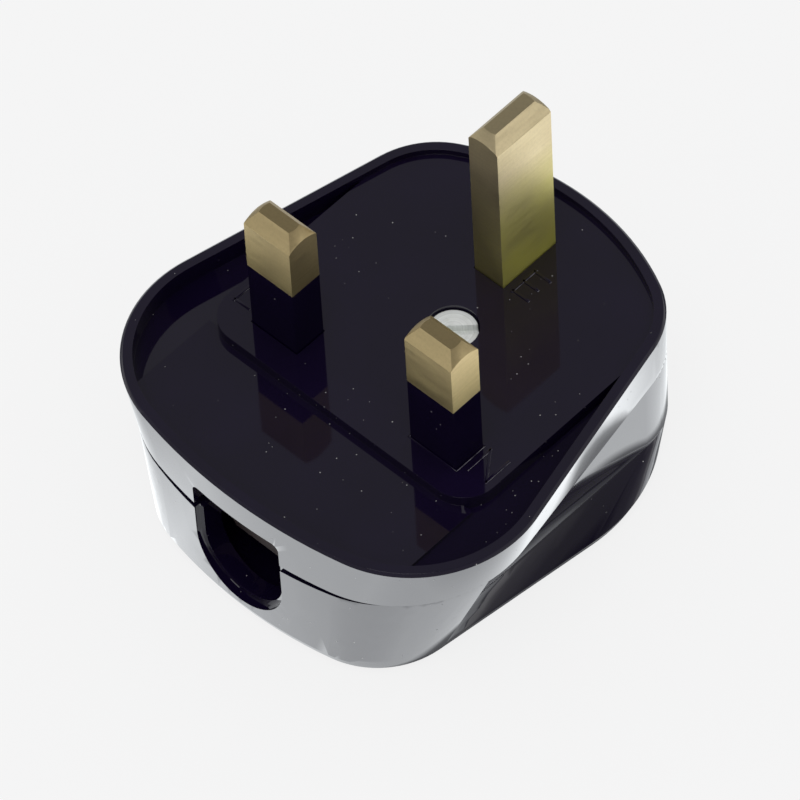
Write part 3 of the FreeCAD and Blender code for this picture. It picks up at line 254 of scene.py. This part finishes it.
def dust_specks(n, here, amount):
    """Two masks: where a speck of dust lies, and how pale it is."""
    cells = n.add("ShaderNodeTexVoronoi", {"Vector": here, "Scale": SPECK_SCALE}, feature="F1")
    speck = n.ramp(cells.outputs["Distance"], (0.09, 1.0), (0.15, 0.0))
    lot = n.add("ShaderNodeSeparateColor", {"Color": cells.outputs["Color"]}).outputs
    gathered = n.ramp(n.noise(here, SPECK_CLUSTERS, 2.0), (0.40, 0.25), (0.62, 1.0))
    chosen = n.maths("GREATER_THAN", n.maths("MULTIPLY", gathered, amount), lot["Red"])
    speck = n.maths("MULTIPLY", speck, chosen)
    pale = n.maths("MULTIPLY", speck, n.ramp(lot["Green"], (0.2, 0.08), (1.0, 0.9)))
    return speck, pale


def black_moulding(name, colour, gloss, dust, ior=1.6, shaped=False, side_highlight=False):
    """Polished thermoset: faint waviness, hairline scratches, a haze, specks of dust and, where asked, a
    painted highlight on the sides that face along X.
    """
    material, n = new_material(name)
    here = n.place()
    haze = n.ramp(n.noise(here, HAZE_SCALE, 4.0), (0.42, 0.0), (0.75, 1.0))
    scratch = n.noise(n.place(SCRATCH_STRETCH), 1.0, 2.0)
    hairline = n.ramp(scratch, (0.70, 0.0), (0.74, 1.0))
    speck, pale = dust_specks(n, here, dust)
    tone = n.mix(haze, colour, scaled(colour, 1.35))
    tone = n.mix(pale, tone, DUST_TONE)
    # Painted highlight: paler on the sides that face along X, broken up by noise
    if side_highlight:
        side_facing = n.ramp(n.maths("ABSOLUTE", n.facing()["X"]), (0.45, 0.0), (0.90, 1.0))
        rubbed = n.maths("MULTIPLY", side_facing, n.ramp(n.noise(here, 900.0, 2.0), (0.35, 0.1), (0.65, 0.75)))
        tone = n.mix(rubbed, tone, SIDE_HIGHLIGHT_TONE)
    rough = n.maths("ADD", gloss, n.maths("MULTIPLY", haze, 0.025))
    rough = n.maths("ADD", rough, n.maths("MULTIPLY", hairline, 0.05))
    rough = n.maths("ADD", rough, n.maths("MULTIPLY", speck, 0.5), clamp=True)
    start = moulded_normal(n, here) if shaped else None
    normal = n.bump(n.noise(here, WAVE_SCALE, 2.0), 0.05, 0.12 * MM, start)
    normal = n.bump(speck, 0.5, 0.05 * MM, normal)
    n.surface({"Base Color": tone, "Roughness": rough, "IOR": ior, "Normal": normal})
    return material


BRUSH_STRETCH = (220, 220, 3000)
BRASS_GRAIN = 3400.0
BRASS_PATCHES = 240.0
# The pins grow greener from one height down to the other
FOOT_TONE_FULL = 1.0 * MM
FOOT_TONE_END = 17.0 * MM
FLECK_TONE = rgb(0.90, 0.86, 0.36)
PLUS_X_TONE = rgb(0.70, 0.66, 0.13)
PLUS_X_DULLS = 0.42


def brushed_brass(name, bright, foot_tone, rough=(0.37, 0.48), plus_x_tint=False):
    """Satin brass: fine lines across the pin, small pits, a greener foot and, where asked, a yellow-green,
    less metallic foot on the faces that look towards +X.
    """
    material, n = new_material(name)
    here = n.place()
    lines = n.noise(n.place(BRUSH_STRETCH), 1.0, 3.0, 0.6)
    grain = n.noise(here, BRASS_GRAIN, 2.0)
    patch = n.noise(here, BRASS_PATCHES, 4.0)
    low = n.spread(n.split(here)["Z"], FOOT_TONE_FULL, FOOT_TONE_END, 1.0, 0.0)
    foot = n.maths("MULTIPLY", low, n.ramp(patch, (0.25, 0.6), (0.7, 1.0)))
    tone = n.mix(foot, bright, foot_tone)
    dull = scaled(bright, 0.72)
    tone = n.mix(n.ramp(lines, (0.30, 0.0), (0.85, 0.30)), tone, dull)
    tone = n.mix(n.ramp(grain, (0.45, 0.0), (0.80, 0.35)), tone, dull)
    fleck = n.maths("MULTIPLY", n.ramp(grain, (0.63, 0.0), (0.70, 0.5)), foot)
    tone = n.mix(fleck, tone, FLECK_TONE)
    metal = 1.0
    # Where asked, yellow-green and less metallic near the foot on the faces that look towards +X
    if plus_x_tint:
        plus_x_share = n.maths("MULTIPLY", foot, n.ramp(n.facing()["X"], (0.6, 0.0), (0.95, 1.0)))
        tone = n.mix(plus_x_share, tone, PLUS_X_TONE)
        metal = n.maths("SUBTRACT", 1.0, n.maths("MULTIPLY", plus_x_share, PLUS_X_DULLS))
    fine = n.ramp(lines, (0.3, rough[0]), (0.75, rough[1]))
    rubbed = n.maths("ADD", fine, n.maths("MULTIPLY", n.ramp(patch, (0.4, 0.0), (0.7, 1.0)), 0.05))
    normal = n.bump(lines, 0.07, 0.02 * MM)
    normal = n.bump(grain, 0.14, 0.02 * MM, normal)
    n.surface({"Base Color": tone, "Metallic": metal, "Roughness": rubbed, "Normal": normal})
    return material


RING_SCALE = 5200.0
ZINC_BLOTCH = rgb(0.55, 0.58, 0.50)
ZINC_METALLIC = 0.12


def turned_metal(name, colour, centre, rough=0.2):
    """Dull plated metal with the fine rings of a lathe about an axis along Z through centre."""
    material, n = new_material(name)
    here = n.place(shift=(-centre[0], -centre[1], 0))
    place = n.split(here)
    radius = n.vector("LENGTH", n.joined(X=place["X"], Y=place["Y"]))
    rings = n.noise(n.joined(X=radius), RING_SCALE, 4.0, 0.7)
    blotch = n.noise(here, 900.0, 3.0)
    tone = n.mix(n.ramp(rings, (0.35, 0.0), (0.7, 1.0)), colour, scaled(colour, 0.72))
    tone = n.mix(n.ramp(blotch, (0.5, 0.0), (0.8, 0.5)), tone, ZINC_BLOTCH)
    bristle = n.ramp(rings, (0.3, rough), (0.8, rough + 0.22))
    normal = n.bump(rings, 0.5, 0.02 * MM)
    normal = n.bump(blotch, 0.15, 0.03 * MM, normal)
    n.surface({"Base Color": tone, "Metallic": ZINC_METALLIC, "Roughness": bristle, "Normal": normal})
    return material


def plain_metal(name, colour, rough):
    """Rolled or plated metal of the inner pieces, with grain and handling marks."""
    material, n = new_material(name)
    grain = n.noise(n.place((300, 2400, 2400)), 1.0, 3.0)
    marks = n.noise(n.place(), 500.0, 4.0)
    tone = n.mix(n.ramp(marks, (0.45, 0.0), (0.8, 0.6)), colour, scaled(colour, 0.6))
    bristle = n.ramp(grain, (0.3, rough), (0.75, rough + 0.2))
    normal = n.bump(grain, 0.3, 0.02 * MM)
    n.surface({"Base Color": tone, "Metallic": 1.0, "Roughness": bristle, "Normal": normal})
    return material


def rough_solid(name, colour, scale, rough):
    """Ceramic or fibre: mottled, with a fine tooth."""
    material, n = new_material(name)
    here = n.place()
    mottle = n.noise(here, scale, 5.0)
    tooth = n.noise(here, scale * 6, 2.0)
    tone = n.mix(n.ramp(mottle, (0.35, 0.0), (0.7, 1.0)), colour, scaled(colour, 0.7))
    bristle = n.ramp(tooth, (0.3, rough), (0.8, rough + 0.2))
    normal = n.bump(tooth, 0.4, 0.03 * MM)
    n.surface({"Base Color": tone, "Roughness": bristle, "Normal": normal})
    return material


def centre_of(node):
    low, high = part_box(node)
    return (low + high) / 2


BLACK = rgb(0.0045, 0.0022, 0.0130)
SLEEVE_BLACK = rgb(0.0032, 0.0012, 0.0110)
MATERIALS = {
    "moulding": black_moulding("moulding_black", BLACK, 0.045, 0.12, shaped=True),
    "sleeve": black_moulding("sleeve_black", SLEEVE_BLACK, 0.20, 0.05, ior=1.25),
    "pin_brass": brushed_brass("pin_brass_satin", rgb(0.59, 0.465, 0.245), rgb(0.66, 0.56, 0.24)),
    "terminal_brass": plain_metal("terminal_brass", rgb(0.70, 0.57, 0.30), 0.28),
    "spring_brass": plain_metal("spring_brass", rgb(0.72, 0.60, 0.34), 0.22),
    "zinc_steel": plain_metal("zinc_steel", rgb(0.74, 0.76, 0.76), 0.22),
    "nickel": plain_metal("nickel_plate", rgb(0.76, 0.75, 0.73), 0.12),
    "ceramic": rough_solid("ceramic_tube", rgb(0.80, 0.78, 0.73), 900.0, 0.55),
    "fuse_wire": plain_metal("drawn_wire", rgb(0.72, 0.72, 0.70), 0.25),
    "fibre": rough_solid("pressed_fibre", rgb(0.020, 0.010, 0.009), 700.0, 0.6),
}
# Pieces whose finish differs from the rest of their slot
OWN_MATERIALS = {
    "earth_pin": brushed_brass("earth_pin_brass", rgb(0.74, 0.62, 0.38), rgb(0.70, 0.64, 0.20),
                               plus_x_tint=True),
    "cover_screw": turned_metal("cover_screw_zinc", rgb(0.95, 0.98, 0.95), centre_of("cover_screw"), 0.35),
}
# The marks carry a painted highlight on their sides that face along X
MARK_BLACK = black_moulding("mark_black", BLACK, 0.08, 0.2, side_highlight=True)


# Pieces

WELD = 0.002 * MM
FLAT_ANGLE = 0.3
BEVEL_ANGLE = 25.0
SMOOTH_ANGLE = 35.0
COVER_SMOOTH_ANGLE = 20.0
FACE_WEIGHT = 50
SLOTS = {part["node"]: part["material_slot"] for part in frame["record"]["subparts"]}
# Width of the rounded edges and how many steps they have
EDGES = {
    "base_moulding": (0.22 * MM, 3),
    "cover_moulding": (0.25 * MM, 3),
    "earth_pin": (0.12 * MM, 2),
    "neutral_pin": (0.12 * MM, 2),
    "line_pin": (0.12 * MM, 2),
    "neutral_pin_sleeve": (0.05 * MM, 2),
    "line_pin_sleeve": (0.05 * MM, 2),
    "cover_screw": (0.10 * MM, 2),
}
SMALL_EDGE = (0.06 * MM, 2)


def join_facets(mesh):
    """Welds the facets of an imported solid and merges those that lie in one plane."""
    work = bmesh.new()
    work.from_mesh(mesh)
    bmesh.ops.remove_doubles(work, verts=work.verts, dist=WELD)
    bmesh.ops.dissolve_limit(work, angle_limit=math.radians(FLAT_ANGLE), verts=work.verts, edges=work.edges)
    work.to_mesh(mesh)
    work.free()


def made_real(piece):
    """Puts a piece's modifiers into its mesh."""
    depsgraph = bpy.context.evaluated_depsgraph_get()
    made = bpy.data.meshes.new_from_object(piece.evaluated_get(depsgraph))
    piece.modifiers.clear()
    piece.data = made


def soften(piece, width, segments):
    """Rounds the sharp edges of a piece, as a mould or a deburring tool leaves them."""
    bevel = piece.modifiers.new("edges", "BEVEL")
    bevel.width = width
    bevel.segments = segments
    bevel.limit_method = "ANGLE"
    bevel.angle_limit = math.radians(BEVEL_ANGLE)
    bevel.use_clamp_overlap = True
    bevel.miter_outer = "MITER_ARC"
    made_real(piece)


def shade(piece, angle=SMOOTH_ANGLE):
    """Smooth shading that keeps the large flat faces flat beside their rounded edges."""
    if "custom_normal" in piece.data.attributes:
        piece.data.attributes.remove(piece.data.attributes["custom_normal"])
    piece.data.shade_smooth()
    piece.data.set_sharp_from_angle(angle=math.radians(angle))
    weighted = piece.modifiers.new("flat_faces", "WEIGHTED_NORMAL")
    weighted.mode = "FACE_AREA"
    weighted.weight = FACE_WEIGHT
    weighted.keep_sharp = True
    made_real(piece)


def dress(node, slot):
    """A copy of a CAD node with rounded edges and its finish, which stands for the node."""
    mesh = frame["nodes"][node].data.copy()
    mesh.name = f"{node}_look"
    piece = bpy.data.objects.new(f"{node}_look", mesh)
    SCENE.collection.objects.link(piece)
    join_facets(mesh)
    soften(piece, *EDGES.get(node, SMALL_EDGE))
    shade(piece, COVER_SMOOTH_ANGLE if node == "cover_moulding" else SMOOTH_ANGLE)
    piece.data.materials.clear()
    piece.data.materials.append(OWN_MATERIALS.get(node, MATERIALS[slot]))
    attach(piece, "root")
    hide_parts(node)


def make_pieces():
    for node, slot in SLOTS.items():
        dress(node, slot)


# Raised marks on the pin face, in millimetres: letters by their strokes, and one fine frame

MARK_LOW, MARK_HIGH = -0.10, 0.09
MARK_EDGE = (0.05 * MM, 2)
STROKE = 0.30
LETTERS = {
    "letter_earth": (((3.0, 18.5), (3.0, 22.1)), ((3.0, 18.65), (5.1, 18.65)),
                     ((3.0, 20.3), (4.9, 20.3)), ((3.0, 21.95), (5.1, 21.95))),
    "letter_neutral": (((15.15, -1.2), (15.15, 2.2)), ((17.6, -1.2), (17.6, 2.2)),
                       ((15.15, 2.1), (17.6, -1.1))),
    "letter_live": (((-17.6, -1.2), (-17.6, 2.2)), ((-17.6, -1.05), (-15.6, -1.05))),
}
FRAMED = "neutral_pin_sleeve"
FRAME_GAP = 0.12
FRAME_STROKE = 0.16


def stroke_corners(start, end, width):
    """The four corners of one stroke, drawn as a bar with square ends."""
    start, end = Vector(start), Vector(end)
    along = (end - start).normalized() * width / 2
    across = Vector((-along.y, along.x))
    return (start - along - across, end + along - across, end + along + across, start - along + across)


def raised_mark(name, strokes, width):
    """Bars that stand a few hundredths of a millimetre above the pin face."""
    work = bmesh.new()
    for start, end in strokes:
        corners = stroke_corners(start, end, width)
        foot = [work.verts.new((c.x * MM, c.y * MM, MARK_LOW * MM)) for c in corners]
        head = [work.verts.new((c.x * MM, c.y * MM, MARK_HIGH * MM)) for c in corners]
        work.faces.new(foot[::-1])
        work.faces.new(head)
        for i in range(4):
            work.faces.new((foot[i], foot[i - 3], head[i - 3], head[i]))
    mesh = bpy.data.meshes.new(name)
    work.to_mesh(mesh)
    work.free()
    piece = bpy.data.objects.new(name, mesh)
    SCENE.collection.objects.link(piece)
    soften(piece, *MARK_EDGE)
    shade(piece)
    piece.data.materials.append(MARK_BLACK)
    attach(piece, "root")


def frame_strokes(node):
    """A thin rectangle that hugs one sleeve."""
    low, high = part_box(node)
    x0, y0 = low.x / MM - FRAME_GAP, low.y / MM - FRAME_GAP
    x1, y1 = high.x / MM + FRAME_GAP, high.y / MM + FRAME_GAP
    return (((x0, y0), (x1, y0)), ((x1, y0), (x1, y1)), ((x1, y1), (x0, y1)), ((x0, y1), (x0, y0)))


def make_marks():
    for name, strokes in LETTERS.items():
        raised_mark(name, strokes, STROKE)
    raised_mark(f"{FRAMED}_frame", frame_strokes(FRAMED), FRAME_STROKE)


# Floor

BACKGROUND = 0.893
FLOOR_SIZE = 6.0
FLOOR_CARD = 0.80
FLOOR_SHADOW_SHARE = 0.12
# What the camera sees glows a little more, to make up for the share that takes the shadow
FLOOR_GLOW = 1.06
# How bright the floor looks in reflections: a painted pool of light round the plug, with painted shade
# where it touches
FLOOR_NEAR = 2.9
FLOOR_TINT = rgb(0.97, 1.00, 1.02)
PLUG_MIDDLE = Vector((0.0, 0.0074, 0.0))
PLUG_CORE = Vector((0.0075, 0.0106, 1.0))
PLUG_ROUND = 0.014
# Painted contact shade: the floor's reflected brightness drops where the plug stands on it
CONTACT_SHADE_REACH = 0.002
CONTACT_SHADE = ((0.0, 0.16), (0.3, 0.25), (0.7, 1.0))
# Painted pool of light: the reflected brightness falls away far from the plug
LIGHT_POOL_REACH = 0.09
LIGHT_POOL = ((0.0, 1.0), (0.35, 0.95), (1.0, 0.35))
# Painted shadow of the plug makes the floor dimmer towards the back left; painted fall-off of light makes
# it dimmer behind the plug and away to the right
BACK_LEFT = Vector((-0.8, 0.6, 0.0))
BACK_LEFT_SHADOW_REACH = (-0.004, 0.020)
BACK_LEFT_SHADOW_LEVELS = ((0.06, 1.0), (0.24, 0.82), (0.38, 0.68), (0.60, 0.52), (0.96, 0.30))
BEHIND = (0.032, 0.045, 0.85)
RIGHT = (0.027, 0.036, 0.68)


def floor_mirrored(n):
    """The floor's brightness for glossy rays, by its distance from the plug's outline: a painted pool of
    light with painted shade and painted shadow in it.
    """
    here = n.place()
    off = n.vector("SUBTRACT", here, PLUG_MIDDLE)
    off = n.vector("SUBTRACT", n.vector("ABSOLUTE", off), PLUG_CORE)
    gap = n.vector("LENGTH", n.vector("MAXIMUM", off, Vector((0, 0, 0))))
    # Painted contact shade, and a painted pool of light round the plug
    shade_at_contact = n.spread(gap, PLUG_ROUND, PLUG_ROUND + CONTACT_SHADE_REACH)
    pool_of_light = n.spread(gap, PLUG_ROUND, PLUG_ROUND + LIGHT_POOL_REACH)
    level = n.maths("MULTIPLY", n.ramp(shade_at_contact, *CONTACT_SHADE), n.ramp(pool_of_light, *LIGHT_POOL))
    place = n.split(here)
    # Painted fall-off of light behind the plug and away to the right
    for axis, (start, end, share) in (("Y", BEHIND), ("X", RIGHT)):
        level = n.maths("MULTIPLY", level, n.spread(place[axis], start, end, 1.0, share))
    # Painted shadow of the plug towards the back left
    back = n.spread(n.vector("DOT_PRODUCT", here, BACK_LEFT), *BACK_LEFT_SHADOW_REACH)
    level = n.maths("MULTIPLY", level, n.ramp(back, *BACK_LEFT_SHADOW_LEVELS))
    return n.maths("MULTIPLY", level, FLOOR_NEAR)


def make_floor():
    """A large pale floor that keeps a soft shadow and reads as the photograph's background."""
    low, _ = CAD_BOX
    bpy.ops.mesh.primitive_plane_add(size=FLOOR_SIZE, location=(0, 0, low.z))
    floor = bpy.context.object
    floor.name = "floor"
    material, n = new_material("pale_floor")
    path = n.add("ShaderNodeLightPath")
    card = n.add("ShaderNodeBsdfDiffuse", {"Color": grey(FLOOR_CARD)}).outputs["BSDF"]
    glow = {"Color": grey(1.0), "Strength": BACKGROUND * FLOOR_GLOW}
    lit = n.add("ShaderNodeEmission", glow).outputs["Emission"]
    seen = n.blend(FLOOR_SHADOW_SHARE, lit, card)
    sheet = {"Color": FLOOR_TINT, "Strength": floor_mirrored(n)}
    bright = n.add("ShaderNodeEmission", sheet).outputs["Emission"]
    base = n.blend(path.outputs["Is Camera Ray"], card, seen)
    n.finish(n.blend(n.mirrored(path), base, bright))
    floor.data.materials.append(material)


# Light

# What a reflection sees of the room by the height of the ray, and by how far it points sideways
ROOM_LEVELS = ((0.0, 0.9), (0.13, 0.75), (0.22, 0.45), (0.32, 0.29), (0.58, 0.27), (0.80, 0.23),
               (0.88, 0.05))
WINDOW_SIDE = Vector((0.90, 0.42, 0.10))
WINDOW_LEVELS = ((0.80, 0.5), (0.97, 0.9))
ROOM_STRENGTH = 2.0
ROOM_TONE = rgb(0.68, 0.68, 0.70)
LAMP_DIRECTION = Vector((0.1, -0.3, 1.0))
LAMP_DISTANCE = 1.2
LAMP_SIZE = 0.5
LAMP_POWER = 2.6


def make_world():
    """Even light for dull surfaces; glossy ones see a bright horizon and a dim ceiling."""
    world = bpy.data.worlds.new("studio")
    world.use_nodes = True
    SCENE.world = world
    n = Nodes(world.node_tree)
    path = n.add("ShaderNodeLightPath")
    ray = n.add("ShaderNodeTexCoord").outputs["Generated"]
    room = n.ramp(n.split(ray)["Z"], *ROOM_LEVELS)
    window = n.ramp(n.vector("DOT_PRODUCT", ray, WINDOW_SIDE), *WINDOW_LEVELS)
    room = n.mix(1.0, room, window, "MULTIPLY")
    room = n.mix(1.0, room, grey(ROOM_STRENGTH), "MULTIPLY")
    tone = n.mix(n.mirrored(path), ROOM_TONE, room)
    tone = n.mix(path.outputs["Is Camera Ray"], tone, grey(BACKGROUND))
    back = n.add("ShaderNodeBackground", {"Color": tone, "Strength": 1.0})
    n.add("ShaderNodeOutputWorld", {"Surface": back.outputs["Background"]})


def make_lamp():
    """A square soft lamp overhead that points at the plug."""
    data = bpy.data.lights.new("overhead", "AREA")
    data.shape = "SQUARE"
    data.size = LAMP_SIZE
    data.energy = LAMP_POWER
    lamp = bpy.data.objects.new("overhead", data)
    away = LAMP_DIRECTION.normalized()
    lamp.location = away * LAMP_DISTANCE
    lamp.rotation_mode = "QUATERNION"
    lamp.rotation_quaternion = away.to_track_quat("Z", "Y")
    SCENE.collection.objects.link(lamp)


make_camera()
make_pieces()
make_marks()
make_floor()
make_world()
make_lamp()
SCENE.view_settings.view_transform = "Standard"
